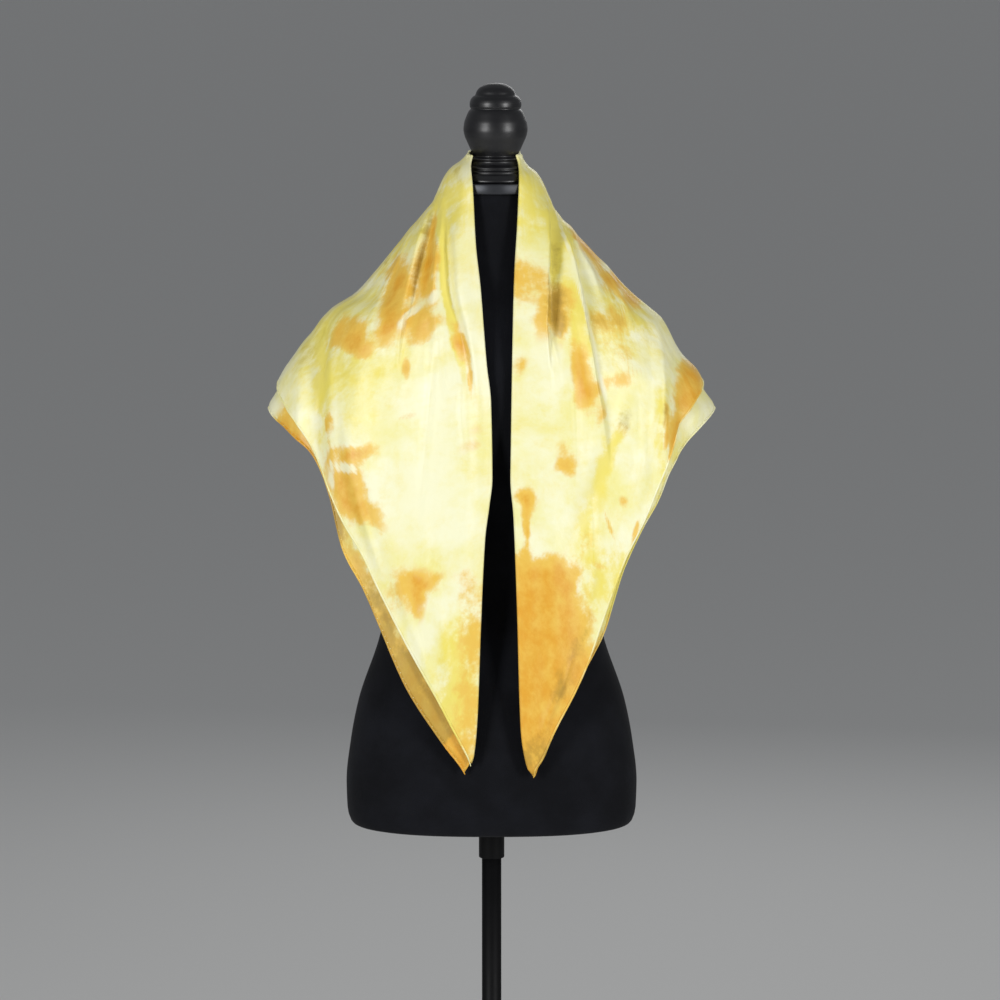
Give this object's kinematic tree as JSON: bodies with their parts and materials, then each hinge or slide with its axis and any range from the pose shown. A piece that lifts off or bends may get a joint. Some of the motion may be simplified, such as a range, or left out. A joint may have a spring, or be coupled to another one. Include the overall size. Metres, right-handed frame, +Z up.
{
  "type": "silk square scarf draped on a limbless dress form",
  "caption": "Large square silk scarf folded corner to corner and draped over the shoulders of a limbless dress form with a turned finial, on a pole with a round base plate.",
  "frame": {"origin": "middle of the stand's footprint, on the surface that it stands on", "axes": "+Z up, the front of the scarf and of the dress form towards -Y, +X to the right as seen from the front"},
  "size_m": [0.5166, 0.33, 1.579],
  "materials": {
    "silk": "satin",
    "form_cover": "matte",
    "painted_wood": "satin",
    "painted_steel": "satin"
  },
  "bodies": {
    "root": {"scarf_left_front": "silk", "scarf_right_front": "silk", "scarf_back": "silk", "under_ply_left": "silk", "under_ply_right": "silk", "under_ply_back": "silk", "torso": "form_cover", "neck_cap": "painted_steel", "finial": "painted_wood", "collar": "painted_steel", "pole": "painted_steel", "pole_boss": "painted_steel", "base_plate": "painted_steel"}
  },
  "joints": []
}
